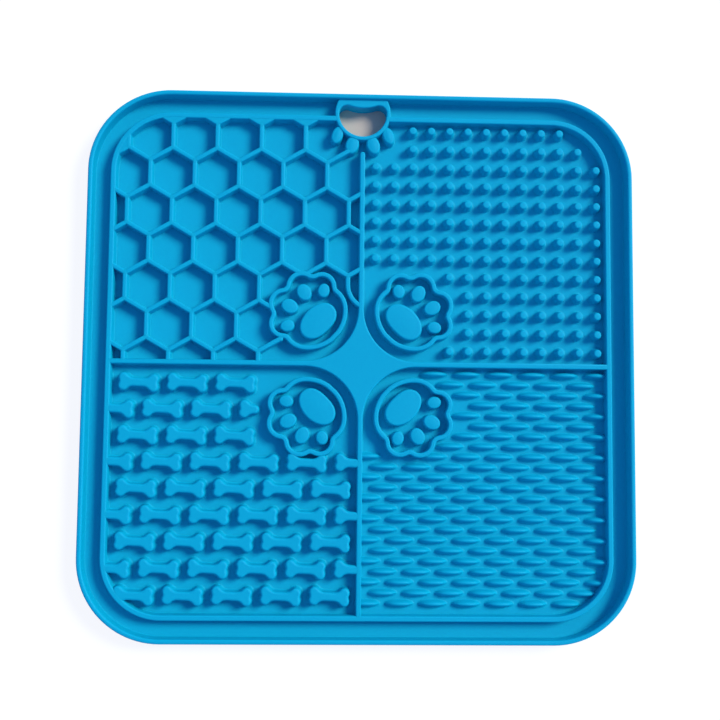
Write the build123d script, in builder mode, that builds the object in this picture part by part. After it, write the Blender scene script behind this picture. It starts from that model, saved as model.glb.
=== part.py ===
from build123d import *
from math import cos, pi, radians, sin, sqrt
import os

os.makedirs("parts", exist_ok=True)

# A square silicone lick mat. The frame is in millimetres, with the origin in the middle of the underside,
# +X to the right, +Y towards the hang hole and +Z up. A flat sheet carries a rim, a gutter, a rib and four
# textured fields round four paw figures. The rubber is one moulding, so its regions meet face to face.

# Sheet, rim, gutter and rib
mat_size = 200
mat_corner_radius = 30
floor_thickness = 2.2
texture_height = 4.5
rim_height = 5.8
rim_thickness = 1.8
rim_edge_radius = 0.6
channel_width = 6.2
rib_thickness = 2.0
divider_thickness = 1.9

# Paw figures, drawn along +X from the middle of the mat and turned into each corner
paw_distance = 22.3
paw_ring_thickness = 1.7
paw_notch_radius = 1.6
heel_shift = 1.7
heel_half_length = 10.2
heel_half_width = 12.4
heel_side_radius_share = 0.82
big_lobe_radius = 4.8
big_lobe_distance = 13.7
big_lobe_angle = 19
small_lobe_radius = 4.5
small_lobe_distance = 12.5
small_lobe_angle = 51
pad_height = 4.0
pad_edge_radius = 0.7
pad_half_length = 5.1
pad_half_width = 7.7
pad_flat_width = 7.6
big_toe_length = 6.4
big_toe_width = 5.2
big_toe_distance_share = 0.84
big_toe_angle = 18.5
small_toe_length = 5.2
small_toe_width = 4.4
small_toe_distance_share = 0.9
small_toe_angle = 55.5
star_moat_width = 3.55

# Hang hole in the top edge, its collar and the beads below it
hang_top_wall = 2.1
hang_lobe_radius = 2.9
hang_lobe_spacing = 11.8
hang_dip_depth = 1.0
hang_collar_width = 1.5
hang_toe_offset = 3.8
hang_wall_offset = 4.4
hang_nub_offset = 6.0
hang_inner_toe_length = 7.0
hang_inner_toe_width = 5.0
hang_inner_toe_angle = 18
hang_inner_toe_tilt = 17
hang_outer_toe_length = 6.8
hang_outer_toe_width = 4.3
hang_outer_toe_angle = 48.5
hang_outer_toe_tilt = 20
hang_toe_edge_radius = 1.0
top_divider_setback = 2.0

# Honeycomb field, top left
honeycomb_pitch = 16.17
honeycomb_wall = 1.7
honeycomb_first_column = 4.94
honeycomb_first_row = 13.58
guard_drop = 7.8
smallest_wall_share = 0.3
largest_filled_pocket_share = 0.4

# Nub field, top right. The rows beside the paw, from the divider up, start at these columns
nub_pitch = 6.83
nub_first = 4.95
nub_height = 4.2
nub_base_diameter = 4.4
nub_tip_diameter = 3.0
nub_edge_radius = 0.6
nub_row_starts = [4, 5, 5, 5, 4]

# Bone field, bottom left. The rows beside the paw, from the divider down, start at these columns
bone_pitch = 17.385
bone_row_pitch = 9.477
bone_first_column = 10.44
bone_first_row = 7.53
bone_length = 14.5
bone_lobe_radius = 1.85
bone_width = 6.6
bone_waist = 3.2
bone_blend_radius = 3.0
bone_notch_radius = 1.5
bone_tilt = -3
bone_row_starts = [2, 2, 2]
half_bone_place = (1, 2)

# Fin field, bottom right. The rows beside the paw, from the divider down, start at these columns
fin_pitch = 12.106
fin_row_pitch = 3.761
fin_first_column = 2.68
fin_first_row = 3.23
fin_length = 10.0
fin_thickness = 2.4
fin_height = 3.0
fin_row_starts = [2, 2, 3, 3, 3, 3, 3, 2, 2]
lone_fin_place = (8, 0)
smallest_fin_share = 0.15

# How far a cutting shape runs past what it cuts
overrun = 1.0

# Values that follow from the sizes above
floor_plane = Plane.XY.offset(floor_thickness)
rim_inner_size = mat_size - 2 * rim_thickness
rim_inner_radius = mat_corner_radius - rim_thickness
rib_outer_size = rim_inner_size - 2 * channel_width
rib_outer_radius = rim_inner_radius - channel_width
rib_inner_size = rib_outer_size - 2 * rib_thickness
rib_inner_radius = rib_outer_radius - rib_thickness
rib_inner_half = rib_inner_size / 2
divider_half = divider_thickness / 2
corner_angles = {"top_right": 45, "top_left": 135, "bottom_left": 225, "bottom_right": 315}

# The sides of the centre star are arcs that run into the dividers without a corner. Their middles lie on the
# diagonals, so that the moat between an arc and the heel of the paw has its own width.
heel_distance = paw_distance + heel_shift
heel_outer_edge = heel_distance - heel_half_length - paw_ring_thickness / 2
star_reach = (heel_outer_edge - star_moat_width - divider_half) / (sqrt(2) - 1)
star_arc_radius = star_reach - divider_half

# The hang hole hangs from the rim. Its hub lies between two upper lobes, a half circle about the hub touches
# both lobes from outside, and the arc of the dip in the top edge runs into both lobes without a corner.
hang_hub_y = rim_inner_size / 2 - hang_top_wall - hang_lobe_radius
hang_lobe_x = hang_lobe_spacing / 2
hang_radius = hang_lobe_x + hang_lobe_radius
hang_dip_y = hang_lobe_radius - hang_dip_depth
hang_dip_radius = (hang_lobe_x**2 + hang_dip_y**2 - hang_lobe_radius**2) / (2 * hang_dip_depth)
hang_dip_width = hang_lobe_spacing * hang_dip_radius / (hang_dip_radius + hang_lobe_radius)
hang_toe_distance = hang_radius + hang_toe_offset
hang_wall_clearing = hang_toe_distance + hang_wall_offset
hang_nub_clearing = hang_toe_distance + hang_nub_offset
top_divider_end = hang_hub_y - hang_toe_distance - top_divider_setback


def polar(distance, angle):
    """The point at a distance from the origin, at an angle in degrees from +X."""
    return distance * cos(radians(angle)), distance * sin(radians(angle))


def paw_point(distance, angle):
    """A point of the paw figure, given from the middle of its main pad."""
    x, y = polar(distance, angle)
    return paw_distance + x, y


# The paw's wall follows a heel arc, two heel sides and four toe lobes, with a small arc in each notch
# between them. All of its outlines share the middles of these arcs, and only their radii differ.
heel_side_radius = heel_side_radius_share * heel_half_length
heel_side_offset = heel_half_width - heel_side_radius
heel_arc_radius = (heel_half_length**2 + heel_side_offset**2 - heel_side_radius**2) / (
    2 * (heel_half_length - heel_side_radius)
)
heel_arc_middle = Vector(heel_distance - heel_half_length + heel_arc_radius, 0)
heel_side_middle = Vector(heel_distance, heel_side_offset)
small_lobe_middle = Vector(*paw_point(small_lobe_distance, small_lobe_angle))
big_lobe_middle = Vector(*paw_point(big_lobe_distance, big_lobe_angle))
notch_reach = paw_ring_thickness / 2 + paw_notch_radius


def notch_middle(first, first_radius, second, second_radius):
    """The middle of the notch arc that touches two round lobes from outside, on their right-hand side."""
    gap = second - first
    first_reach = first_radius + notch_reach
    second_reach = second_radius + notch_reach
    along = (gap.length**2 + first_reach**2 - second_reach**2) / (2 * gap.length)
    across = sqrt(first_reach**2 - along**2)
    forward = gap.normalized()
    return first + forward * along + Vector(forward.Y, -forward.X) * across


def arc_about(middle, start, end):
    """The shorter arc about a middle from one point to another."""
    halfway = ((start - middle) + (end - middle)).normalized() * (start - middle).length
    return ThreePointArc(start, middle + halfway, end)


def towards(middle, target, distance):
    """The point at a distance from a middle, in the direction of a target."""
    return middle + (target - middle).normalized() * distance


heel_notch = notch_middle(small_lobe_middle, small_lobe_radius, heel_side_middle, heel_side_radius)
toe_notch = notch_middle(big_lobe_middle, big_lobe_radius, small_lobe_middle, small_lobe_radius)
front_notch = notch_middle(
    Vector(big_lobe_middle.X, -big_lobe_middle.Y), big_lobe_radius, big_lobe_middle, big_lobe_radius
)


def paw_contour(growth):
    """The paw's outline, grown outwards from the middle line of its wall."""
    heel_point = heel_arc_middle - Vector(heel_arc_radius + growth, 0)
    side_start = towards(heel_arc_middle, heel_side_middle, heel_arc_radius + growth)
    side_end = towards(heel_side_middle, heel_notch, heel_side_radius + growth)
    small_start = towards(small_lobe_middle, heel_notch, small_lobe_radius + growth)
    small_end = towards(small_lobe_middle, toe_notch, small_lobe_radius + growth)
    big_start = towards(big_lobe_middle, toe_notch, big_lobe_radius + growth)
    big_end = towards(big_lobe_middle, front_notch, big_lobe_radius + growth)
    front_point = front_notch - Vector(notch_reach - growth, 0)
    with BuildSketch() as contour:
        with BuildLine():
            arc_about(heel_arc_middle, heel_point, side_start)
            arc_about(heel_side_middle, side_start, side_end)
            arc_about(heel_notch, side_end, small_start)
            arc_about(small_lobe_middle, small_start, small_end)
            arc_about(toe_notch, small_end, big_start)
            arc_about(big_lobe_middle, big_start, big_end)
            arc_about(front_notch, big_end, front_point)
            mirror(about=Plane.XZ)
        make_face()
    return contour.sketch


paw_outline = paw_contour(paw_ring_thickness / 2)
with BuildSketch() as paw_wall:
    add(paw_outline)
    add(paw_contour(-paw_ring_thickness / 2), mode=Mode.SUBTRACT)

with BuildSketch() as pad_outline:
    with Locations((paw_distance, 0)):
        Ellipse(pad_half_length, pad_half_width)
    flat_radius = pad_half_width - pad_flat_width / 2
    with Locations((paw_distance - pad_half_length + flat_radius, 0)):
        SlotCenterToCenter(pad_flat_width, 2 * flat_radius, rotation=90)

with BuildSketch() as toe_outlines:
    for side in (-1, 1):
        with Locations(paw_point(big_lobe_distance * big_toe_distance_share, side * big_toe_angle)):
            Ellipse(big_toe_length / 2, big_toe_width / 2, rotation=side * big_toe_angle)
        with Locations(paw_point(small_lobe_distance * small_toe_distance_share, side * small_toe_angle)):
            Ellipse(small_toe_length / 2, small_toe_width / 2, rotation=side * small_toe_angle)

# Outlines of the hang hole and of the round collar, which the rim cuts off
with BuildSketch() as hang_hole:
    with Locations((0, hang_hub_y)):
        Circle(hang_radius)
        Rectangle(2 * hang_radius, hang_radius, align=(Align.CENTER, Align.MIN), mode=Mode.SUBTRACT)
        Rectangle(hang_dip_width, hang_lobe_radius, align=(Align.CENTER, Align.MIN))
    with Locations((0, hang_hub_y + hang_dip_y + hang_dip_radius)):
        Circle(hang_dip_radius, mode=Mode.SUBTRACT)
    with Locations((-hang_lobe_x, hang_hub_y), (hang_lobe_x, hang_hub_y)):
        Circle(hang_lobe_radius)

with BuildSketch() as collar_outline:
    with Locations((0, hang_hub_y)):
        Circle(hang_radius + hang_collar_width)
    Rectangle(rim_inner_size, rim_inner_size, mode=Mode.INTERSECT)

with BuildSketch() as hang_toe_outlines:
    for side in (-1, 1):
        inner_x, inner_y = polar(hang_toe_distance, side * hang_inner_toe_angle - 90)
        with Locations((inner_x, hang_hub_y + inner_y)):
            Ellipse(
                hang_inner_toe_width / 2,
                hang_inner_toe_length / 2,
                rotation=side * hang_inner_toe_tilt,
            )
        outer_x, outer_y = polar(hang_toe_distance, side * hang_outer_toe_angle - 90)
        with Locations((outer_x, hang_hub_y + outer_y)):
            Ellipse(
                hang_outer_toe_width / 2,
                hang_outer_toe_length / 2,
                rotation=side * hang_outer_toe_tilt,
            )
    add(collar_outline.sketch, mode=Mode.SUBTRACT)

# Outlines of the star and the dividers
with BuildSketch() as star_outline:
    Rectangle(2 * star_reach, 2 * star_reach)
    with GridLocations(2 * star_reach, 2 * star_reach, 2, 2):
        Circle(star_arc_radius, mode=Mode.SUBTRACT)

with BuildSketch() as side_divider_outline:
    with Locations((star_reach, 0)):
        Rectangle(rib_inner_half - star_reach, divider_thickness, align=(Align.MIN, Align.CENTER))

with BuildSketch() as top_divider_outline:
    with Locations((0, star_reach)):
        Rectangle(
            divider_thickness,
            top_divider_end - divider_half - star_reach,
            align=(Align.CENTER, Align.MIN),
        )
    with Locations((0, top_divider_end - divider_half)):
        Circle(divider_half)

# The floor that stays open for the textures, inside the rib and round the other walls
with BuildSketch() as open_floor:
    RectangleRounded(rib_inner_size, rib_inner_size, rib_inner_radius)
    add(star_outline.sketch, mode=Mode.SUBTRACT)
    add(top_divider_outline.sketch, mode=Mode.SUBTRACT)
    for turn in (0, 180, 270):
        add(side_divider_outline.sketch, rotation=turn, mode=Mode.SUBTRACT)
    for turn in corner_angles.values():
        add(paw_outline, rotation=turn, mode=Mode.SUBTRACT)
    add(collar_outline.sketch, mode=Mode.SUBTRACT)
    add(hang_toe_outlines.sketch, mode=Mode.SUBTRACT)


def field_floor(x_side, y_side):
    """The open floor of one quarter of the mat; each side is -1 or 1."""
    with BuildSketch() as quarter_floor:
        add(open_floor.sketch)
        with Locations((x_side * rib_inner_half / 2, y_side * rib_inner_half / 2)):
            Rectangle(rib_inner_half, rib_inner_half, mode=Mode.INTERSECT)
    return quarter_floor.sketch


def places_to_rib(first, pitch):
    """How many places, from the first one outwards, have their middle inside the rib."""
    return 1 + int((rib_inner_half - first) / pitch)


def hang_distance(x, y):
    """How far a point lies from the hub of the hang hole."""
    return sqrt(x**2 + (hang_hub_y - y) ** 2)


def row_start(starts, row):
    """The first column of a row. A row beside the paw has its own, and other rows start at the divider."""
    return starts[row] if row < len(starts) else 0


def foot_fits(floor, x, y, length, width):
    """Whether an elliptic foot, tried at points round its edge, lies wholly on the floor."""
    edge = [(x + length / 2 * cos(pi * k / 4), y + width / 2 * sin(pi * k / 4)) for k in range(8)]
    return all(any(face.is_inside(point) for face in floor.faces()) for point in edge)


# Sheet with the hang hole
with BuildPart() as base_sheet:
    with BuildSketch():
        RectangleRounded(mat_size, mat_size, mat_corner_radius)
        add(hang_hole.sketch, mode=Mode.SUBTRACT)
    extrude(amount=floor_thickness)
base_sheet.part.label = "base_sheet"
export_step(base_sheet.part, "parts/base_sheet.step")

# Rim round the edge, with rounded top edges
with BuildPart() as outer_rim:
    with BuildSketch(floor_plane):
        RectangleRounded(mat_size, mat_size, mat_corner_radius)
        RectangleRounded(rim_inner_size, rim_inner_size, rim_inner_radius, mode=Mode.SUBTRACT)
    extrude(amount=rim_height)
    fillet(outer_rim.edges().group_by(Axis.Z)[-1], rim_edge_radius)
outer_rim.part.label = "outer_rim"
export_step(outer_rim.part, "parts/outer_rim.step")

# Rib inside the gutter, which stops at the collar of the hang hole
with BuildPart() as inner_rib:
    with BuildSketch(floor_plane):
        RectangleRounded(rib_outer_size, rib_outer_size, rib_outer_radius)
        RectangleRounded(rib_inner_size, rib_inner_size, rib_inner_radius, mode=Mode.SUBTRACT)
        add(collar_outline.sketch, mode=Mode.SUBTRACT)
    extrude(amount=texture_height)
inner_rib.part.label = "inner_rib"
export_step(inner_rib.part, "parts/inner_rib.step")

# Star in the middle
with BuildPart() as centre_star:
    with BuildSketch(floor_plane):
        add(star_outline.sketch)
    extrude(amount=texture_height)
centre_star.part.label = "centre_star"
export_step(centre_star.part, "parts/centre_star.step")

# Dividers between the four fields
for side_name, turn in {"right": 0, "left": 180, "bottom": 270}.items():
    with BuildPart() as divider:
        with BuildSketch(floor_plane):
            add(side_divider_outline.sketch, rotation=turn)
        extrude(amount=texture_height)
    divider.part.label = f"divider_{side_name}"
    export_step(divider.part, f"parts/divider_{side_name}.step")

with BuildPart() as divider_top:
    with BuildSketch(floor_plane):
        add(top_divider_outline.sketch)
    extrude(amount=texture_height)
divider_top.part.label = "divider_top"
export_step(divider_top.part, "parts/divider_top.step")

# Paw figures: a wall, a main pad and four toe pads in each corner of the middle
for corner_name, turn in corner_angles.items():
    with BuildPart() as paw_ring:
        with BuildSketch(floor_plane):
            add(paw_wall.sketch, rotation=turn)
        extrude(amount=texture_height)
    paw_ring.part.label = f"paw_ring_{corner_name}"
    export_step(paw_ring.part, f"parts/paw_ring_{corner_name}.step")

    with BuildPart() as paw_pad:
        with BuildSketch(floor_plane):
            add(pad_outline.sketch, rotation=turn)
        extrude(amount=pad_height)
        fillet(paw_pad.edges().group_by(Axis.Z)[-1], pad_edge_radius)
    paw_pad.part.label = f"paw_pad_{corner_name}"
    export_step(paw_pad.part, f"parts/paw_pad_{corner_name}.step")

    with BuildPart() as paw_toes:
        with BuildSketch(floor_plane):
            add(toe_outlines.sketch, rotation=turn)
        extrude(amount=pad_height)
        fillet(paw_toes.edges().group_by(Axis.Z)[-1], pad_edge_radius)
    paw_toes.part.label = f"paw_toes_{corner_name}"
    export_step(paw_toes.part, f"parts/paw_toes_{corner_name}.step")

# Collar round the hang hole, and the beads below it
with BuildPart() as hang_collar:
    with BuildSketch(floor_plane):
        add(collar_outline.sketch)
        add(hang_hole.sketch, mode=Mode.SUBTRACT)
    extrude(amount=texture_height)
hang_collar.part.label = "hang_collar"
export_step(hang_collar.part, "parts/hang_collar.step")

with BuildPart() as hang_toes:
    with BuildSketch(floor_plane):
        add(hang_toe_outlines.sketch)
    extrude(amount=texture_height)
    fillet(hang_toes.edges().group_by(Axis.Z)[-1], hang_toe_edge_radius)
hang_toes.part.label = "hang_toes"
export_step(hang_toes.part, "parts/hang_toes.step")

# Honeycomb: every wall between two cells is a solid with mitred ends, cut off at the walls round the field.
# Beside the heel of the paw the cells stay open, and one bent guard wall closes the last cell.
with BuildSketch() as heel_half_plane:
    with Locations((heel_distance, 0)):
        Rectangle(heel_distance + star_arc_radius, mat_size, align=(Align.MAX, Align.CENTER))

with BuildSketch() as heel_clearing:
    with Locations((star_reach * sqrt(2), 0)):
        Circle(star_arc_radius)
    add(heel_half_plane.sketch, mode=Mode.INTERSECT)

with BuildSketch() as honeycomb_floor:
    add(field_floor(-1, 1))
    add(heel_clearing.sketch, rotation=corner_angles["top_left"], mode=Mode.SUBTRACT)

cell_side = honeycomb_pitch / sqrt(3)
mitre = honeycomb_wall / 2 / sqrt(3)
with BuildSketch() as wall_outline:
    with BuildLine():
        Polyline(
            (-cell_side / 2, 0),
            (mitre - cell_side / 2, -honeycomb_wall / 2),
            (cell_side / 2 - mitre, -honeycomb_wall / 2),
            (cell_side / 2, 0),
            (cell_side / 2 - mitre, honeycomb_wall / 2),
            (mitre - cell_side / 2, honeycomb_wall / 2),
            close=True,
        )
    make_face()
smallest_wall_area = smallest_wall_share * wall_outline.sketch.area

honeycomb_row_pitch = honeycomb_pitch * sqrt(3) / 2
cell_places = [
    (
        -honeycomb_first_column - (column - row % 2 / 2) * honeycomb_pitch,
        honeycomb_first_row + row * honeycomb_row_pitch,
    )
    for row in range(-1, places_to_rib(honeycomb_first_row, honeycomb_row_pitch))
    for column in range(1 + places_to_rib(honeycomb_first_column, honeycomb_pitch))
]
honeycomb_solids = []
pocket_floor = honeycomb_floor.sketch
for wall_side in (0, 60, 120):
    wall_x, wall_y = polar(honeycomb_pitch / 2, wall_side)
    wall_middles = [(cell_x + wall_x, cell_y + wall_y) for cell_x, cell_y in cell_places]
    wall_middles = [middle for middle in wall_middles if hang_distance(*middle) > hang_wall_clearing]
    wall_places = [Location(middle, wall_side + 90) for middle in wall_middles]
    with BuildSketch() as wall_faces:
        with Locations(*wall_places):
            add(wall_outline.sketch)
        add(honeycomb_floor.sketch, mode=Mode.INTERSECT)
    with BuildSketch(floor_plane) as whole_faces:
        add(wall_faces.sketch.faces().filter_by(lambda face: face.area > smallest_wall_area))
    with BuildPart() as parallel_walls:
        extrude(whole_faces.sketch, amount=texture_height)
    honeycomb_solids.extend(parallel_walls.solids())
    with BuildSketch() as floor_left:
        add(pocket_floor)
        add(wall_faces.sketch, mode=Mode.SUBTRACT)
    pocket_floor = floor_left.sketch

# The smallest pockets between the walls and the rib are filled up with rubber
largest_filled_pocket = largest_filled_pocket_share * wall_outline.sketch.area
for pocket in pocket_floor.faces().filter_by(lambda face: face.area < largest_filled_pocket):
    with BuildPart() as pocket_filling:
        with BuildSketch(floor_plane):
            add(pocket)
        extrude(amount=texture_height)
    honeycomb_solids.extend(pocket_filling.solids())

guard_top = heel_distance * sqrt(2) - honeycomb_first_column
with BuildPart() as guard_wall:
    with BuildSketch(floor_plane):
        with BuildLine():
            guard_start = (-honeycomb_first_column, guard_top + overrun)
            guard_line = Line(guard_start, (-honeycomb_first_column, guard_top))
            TangentArc(guard_line @ 1, (0, guard_top - guard_drop), tangent=guard_line % 1)
        trace(line_width=honeycomb_wall)
        add(heel_half_plane.sketch, rotation=corner_angles["top_left"], mode=Mode.INTERSECT)
        add(field_floor(-1, 1), mode=Mode.INTERSECT)
    extrude(amount=texture_height)
honeycomb_solids.extend(guard_wall.solids())
honeycomb_walls = Compound(honeycomb_solids, label="honeycomb_walls")
export_step(honeycomb_walls, "parts/honeycomb_walls.step")

# Nubs: tapered pegs with a round edge at the top, wherever the whole foot of a peg has room on the open
# floor. The floor round the hang hole and its beads stays clear.
with BuildPart() as nub:
    Cone(
        nub_base_diameter / 2,
        nub_tip_diameter / 2,
        nub_height,
        align=(Align.CENTER, Align.CENTER, Align.MIN),
    )
    fillet(nub.edges().group_by(Axis.Z)[-1], nub_edge_radius)

nub_floor = field_floor(1, 1)
nub_solids = []
nub_count = places_to_rib(nub_first, nub_pitch)
for row in range(nub_count):
    nub_y = nub_first + row * nub_pitch
    for column in range(row_start(nub_row_starts, row), nub_count):
        nub_x = nub_first + column * nub_pitch
        has_room = foot_fits(nub_floor, nub_x, nub_y, nub_base_diameter, nub_base_diameter)
        if has_room and hang_distance(nub_x, nub_y) > hang_nub_clearing:
            nub_solids.append(nub.part.solid().moved(Location((nub_x, nub_y, floor_thickness))))
nub_field = Compound(nub_solids, label="nub_field")
export_step(nub_field, "parts/nub_field.step")

# Bones: each odd row is half a step nearer to the divider, so the divider and the rib cut its end bones
with BuildSketch() as bone_outline:
    lobe_x = bone_length / 2 - bone_lobe_radius
    lobe_y = bone_width / 2 - bone_lobe_radius
    Rectangle(2 * lobe_x, bone_waist)
    with GridLocations(2 * lobe_x, 2 * lobe_y, 2, 2):
        Circle(bone_lobe_radius)
    notch_corners = bone_outline.vertices().filter_by_position(Axis.Y, -bone_waist / 4, bone_waist / 4)
    fillet(notch_corners, bone_notch_radius)
    waist_corners = bone_outline.vertices().filter_by_position(Axis.X, -lobe_x, lobe_x)
    fillet(waist_corners, bone_blend_radius)

with BuildSketch() as half_bone_outline:
    add(bone_outline.sketch)
    Rectangle(bone_length, bone_width, align=(Align.MIN, Align.CENTER), mode=Mode.SUBTRACT)
    with Locations((-bone_waist / 2, 0)):
        Rectangle(bone_waist, bone_waist, align=(Align.MIN, Align.CENTER), mode=Mode.SUBTRACT)
        Circle(bone_waist / 2)

bone_places = {}
for row in range(places_to_rib(bone_first_row + bone_width / 2, bone_row_pitch)):
    row_first_column = bone_first_column - row % 2 / 2 * bone_pitch
    for column in range(row_start(bone_row_starts, row), places_to_rib(row_first_column, bone_pitch)):
        bone_x = -row_first_column - column * bone_pitch
        bone_y = -bone_first_row - row * bone_row_pitch
        bone_places[row, column] = Location((bone_x, bone_y), bone_tilt)
half_bone_location = bone_places.pop(half_bone_place)
with BuildPart() as bone_field:
    with BuildSketch(floor_plane):
        with Locations(*bone_places.values()):
            add(bone_outline.sketch)
        with Locations(half_bone_location):
            add(half_bone_outline.sketch)
        add(field_floor(-1, -1), mode=Mode.INTERSECT)
    extrude(amount=texture_height)
bone_field.part.label = "bone_field"
export_step(bone_field.part, "parts/bone_field.step")

# Fins: half ellipsoids in rows, cut off at the divider and the rib
with BuildPart() as fin:
    Sphere(fin_height)
    scale(by=(fin_length / 2 / fin_height, fin_thickness / 2 / fin_height, 1))
    split(bisect_by=Plane.XY, keep=Keep.TOP)

fin_floor = field_floor(1, -1)
fin_solids = []
cut_fin_places = []
for row in range(places_to_rib(fin_first_row + fin_thickness / 2, fin_row_pitch)):
    fin_y = -fin_first_row - row * fin_row_pitch
    row_first_column = fin_first_column + row % 2 / 2 * fin_pitch
    columns = list(range(row_start(fin_row_starts, row), places_to_rib(row_first_column, fin_pitch)))
    if row == lone_fin_place[0]:
        columns.append(lone_fin_place[1])
    for column in columns:
        fin_x = row_first_column + column * fin_pitch
        if foot_fits(fin_floor, fin_x, fin_y, fin_length, fin_thickness):
            fin_solids.append(fin.part.solid().moved(Location((fin_x, fin_y, floor_thickness))))
        else:
            cut_fin_places.append((fin_x, fin_y, floor_thickness))

with BuildPart() as cut_fins:
    with Locations(*cut_fin_places):
        add(fin.part)
    with BuildSketch(floor_plane):
        add(fin_floor)
    extrude(amount=fin_height, mode=Mode.INTERSECT)
smallest_fin = smallest_fin_share * fin.part.volume
fin_solids.extend(solid for solid in cut_fins.solids() if solid.volume > smallest_fin)
fin_field = Compound(fin_solids, label="fin_field")
export_step(fin_field, "parts/fin_field.step")
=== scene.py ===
# %% [markdown]
# # A silicone lick mat
# This lesson builds the look of a square lick mat: a thin sheet of blue silicone rubber with a rim round it,
# and four fields of raised shapes that hold soft pet food. The CAD part gives the sizes. Here each raised
# shape is made again as moulded rubber really is, with round top edges and a fillet where a wall meets the
# floor, because a sharp corner in a mould tears the rubber.

# %% Load the CAD part
from itertools import groupby
from math import atan2, cos, degrees, dist, hypot, radians, sin, sqrt

import bmesh
import bpy
from mathutils import Matrix, Vector
from mathutils.geometry import tessellate_polygon


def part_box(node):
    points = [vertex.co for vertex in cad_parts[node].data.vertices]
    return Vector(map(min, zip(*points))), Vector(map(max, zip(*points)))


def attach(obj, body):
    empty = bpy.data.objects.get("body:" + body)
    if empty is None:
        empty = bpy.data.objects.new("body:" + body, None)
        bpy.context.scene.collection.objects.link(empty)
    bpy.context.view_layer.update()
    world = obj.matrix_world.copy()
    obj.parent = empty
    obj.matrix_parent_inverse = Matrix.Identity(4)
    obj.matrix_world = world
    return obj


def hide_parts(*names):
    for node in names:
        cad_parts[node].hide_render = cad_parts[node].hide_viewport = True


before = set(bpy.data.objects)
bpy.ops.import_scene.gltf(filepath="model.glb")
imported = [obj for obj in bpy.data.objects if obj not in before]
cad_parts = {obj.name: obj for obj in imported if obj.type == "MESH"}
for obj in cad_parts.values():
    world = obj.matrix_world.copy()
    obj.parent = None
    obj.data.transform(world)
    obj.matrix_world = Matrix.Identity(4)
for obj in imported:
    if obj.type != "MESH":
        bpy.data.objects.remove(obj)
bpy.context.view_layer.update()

# %% [markdown]
# The boxes of the CAD nodes tell how thick the sheet is, how high the walls stand and where the rib and the
# dividers run. The other sizes belong to the mould. All of them are in millimetres, and a piece is scaled to
# metres when its mesh is made. A wall that runs into another one is a hair lower than it, by a few tucks, so
# that no two tops lie in the same plane. Each shape also sinks a little into the sheet, with a small skirt
# round its foot that lies a film above the floor.

# %% Sizes
MM = 0.001


def box_mm(node):
    """The lowest and highest corner of a CAD node, in millimetres."""
    low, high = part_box(node)
    return low / MM, high / MM


floor_z = box_mm("base_sheet")[1].z
mat_half = box_mm("base_sheet")[1].x
mat_corner_radius = 30.0
rim_top = box_mm("outer_rim")[1].z
rim_thickness = 1.8
rib_thickness = 2.0
wall_thickness = 1.7
rib_middle = box_mm("inner_rib")[1].x - rib_thickness / 2
rib_inner = rib_middle - rib_thickness / 2
divider_half = box_mm("divider_right")[1].y
star_reach = box_mm("centre_star")[1].x
texture_top = box_mm("inner_rib")[1].z
tuck = 0.02
foot_radius = 0.35
edge_radius = 0.5
draft = 0.12
sink, skirt, film = 0.6, 0.25, 0.001
print("floor", round(floor_z, 2), "texture", round(texture_top, 2), "rim", round(rim_top, 2))

# %% [markdown]
# All the raised shapes are lofts: one outline seen from above, drawn again and again at other heights and a
# little larger or smaller. A bevel modifier could round the edges too, but it stumbles where outlines are
# dense, and a loft gives the very section that a mould maker would draw. These helpers draw outlines as
# lists of points, counter-clockwise.

# %% Outline helpers


def polar(distance, angle):
    """The point at a distance from the origin, at an angle in degrees from +X."""
    return distance * cos(radians(angle)), distance * sin(radians(angle))


def arc_points(middle, radius, start, end, steps):
    """Points of an arc, with angles in degrees, without its last point."""
    turns = [polar(radius, start + (end - start) * k / steps) for k in range(steps)]
    return [(middle[0] + x, middle[1] + y) for x, y in turns]


def turned(points, angle):
    """Points turned about the origin by an angle in degrees."""
    c, s = cos(radians(angle)), sin(radians(angle))
    return [(x * c - y * s, x * s + y * c) for x, y in points]


def oval(middle, half_length, half_width, angle, steps=36):
    """An ellipse about a middle, with its long axis turned by an angle."""
    points = [(x * half_length, y * half_width) for x, y in arc_points((0, 0), 1, 0, 360, steps)]
    return [(middle[0] + x, middle[1] + y) for x, y in turned(points, angle)]


def rounded_square(half, radius, steps=24):
    """A square with rounded corners about the origin."""
    points = []
    for quarter in (0, 90, 180, 270):
        middle = turned([(half - radius, half - radius)], quarter)[0]
        points += arc_points(middle, radius, quarter, quarter + 90 + 90 / steps, steps + 1)
    return points


def grown(points, amount, closed=True):
    """An outline moved outwards by an amount, with mitred corners that reach out no further than a limit."""
    count, mitre_limit = len(points), 0.25
    result = []
    for k, (x, y) in enumerate(points):
        normals = []
        for a, b in ((k - 1, k), (k, k + 1)):
            if closed or (a >= 0 and b < count):
                (x0, y0), (x1, y1) = points[a % count], points[b % count]
                length = hypot(x1 - x0, y1 - y0)
                normals.append(Vector((y1 - y0, x0 - x1)) / length)
        normal = sum(normals, Vector((0, 0))) / len(normals)
        stretch = amount / max(normal.length_squared, mitre_limit)
        result.append((x + normal.x * stretch, y + normal.y * stretch))
    return result


print("points of the mat's outline:", len(rounded_square(mat_half, mat_corner_radius)))

# %% [markdown]
# A section is a list of steps (growth, height): up from below the floor, round the foot fillet, up the side
# with a little draft so that the mould lets go, and over the top edge. One section serves a pad, whose top
# is then closed, and a wall, whose two sides are the same section seen from both faces.

# %% Side section


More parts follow.
